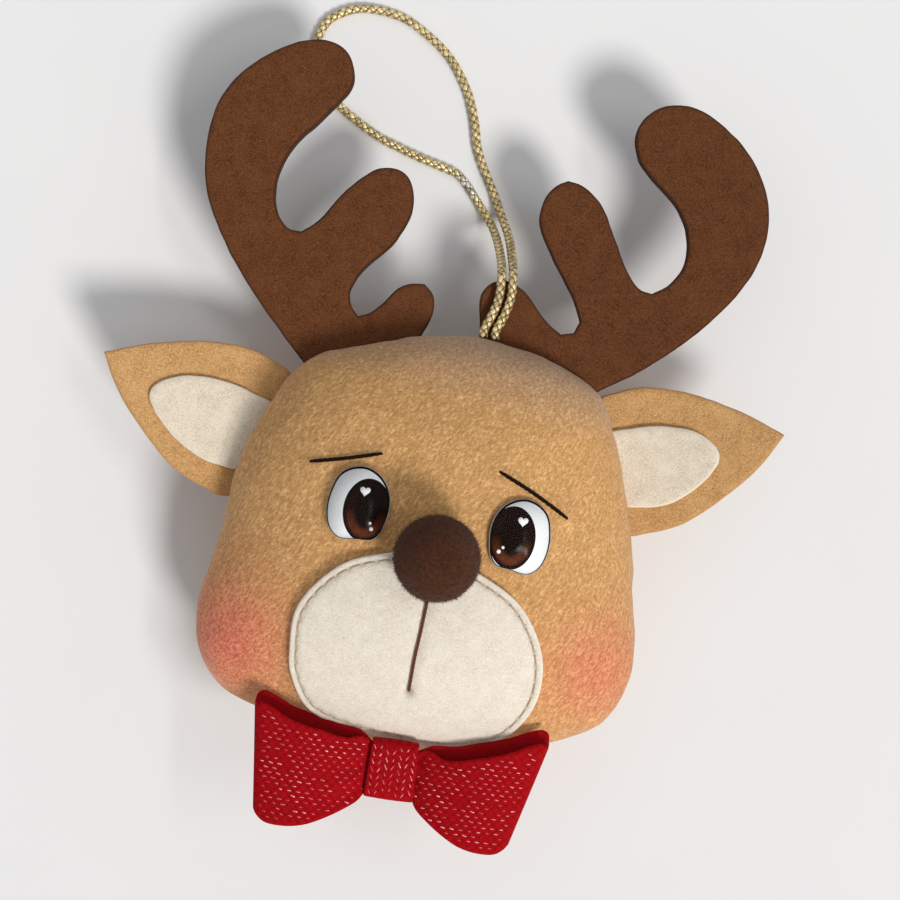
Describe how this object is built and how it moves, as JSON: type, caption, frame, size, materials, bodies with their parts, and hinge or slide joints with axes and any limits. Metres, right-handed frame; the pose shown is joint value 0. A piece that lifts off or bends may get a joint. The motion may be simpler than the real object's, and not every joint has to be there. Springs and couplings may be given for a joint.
{
  "type": "felt christmas ornament",
  "caption": "Stuffed felt reindeer head with felt antlers and ears, a cream muzzle, a ball nose, domed eyes and a red bow tie, on a gold hanging cord.",
  "frame": {"origin": "middle of the flat patch on the back of the head that the ornament lies on", "axes": "+Z out of the face, +Y towards the antlers and the hanging cord, +X to the right seen from in front"},
  "size_m": [0.1282, 0.1563, 0.0584],
  "materials": {
    "plush_felt": "short-napped tan plush felt",
    "filling": "white polyester fibre filling",
    "antler_felt": "stiff chocolate brown felt",
    "ear_felt": "caramel craft felt",
    "cream_felt": "cream craft felt",
    "nose_felt": "dark brown felted ball",
    "bow_felt": "red felt with woven metallic threads",
    "beige_thread": "beige sewing thread",
    "brown_thread": "reddish brown embroidery thread",
    "black_thread": "black-brown embroidery thread",
    "eye_white": "white printed plate",
    "eye_brown": "dark brown printed iris",
    "clear_dome": "clear glossy dome",
    "gold_cord": "braided metallic gold cord"
  },
  "bodies": {
    "head": {"head_front": "plush_felt", "head_back": "plush_felt", "stuffing": "filling", "left_antler_front": "antler_felt", "left_antler_back": "antler_felt", "right_antler_front": "antler_felt", "right_antler_back": "antler_felt", "left_ear_outer": "ear_felt", "right_ear_outer": "ear_felt", "left_ear_inner": "cream_felt", "right_ear_inner": "cream_felt", "muzzle_patch": "cream_felt", "muzzle_stitching": "beige_thread", "mouth_stitch": "brown_thread", "left_brow_stitch": "black_thread", "right_brow_stitch": "black_thread", "nose_ball": "nose_felt", "left_eye_print": "eye_white", "right_eye_print": "eye_white", "left_eye_iris": "eye_brown", "right_eye_iris": "eye_brown", "left_eye_dome": "clear_dome", "right_eye_dome": "clear_dome", "bow_strip": "bow_felt", "bow_band": "bow_felt", "cord_knot": "gold_cord"},
    "cord_loop": {"hanging_cord": "gold_cord"}
  },
  "joints": [
    {"name": "cord_loop_swing", "type": "hinge", "parent": "head", "child": "cord_loop", "pos_m": [0.0071, 0.0424, 0.0207], "axis": [0, 0, 1], "range_deg": [-12, 25]}
  ]
}
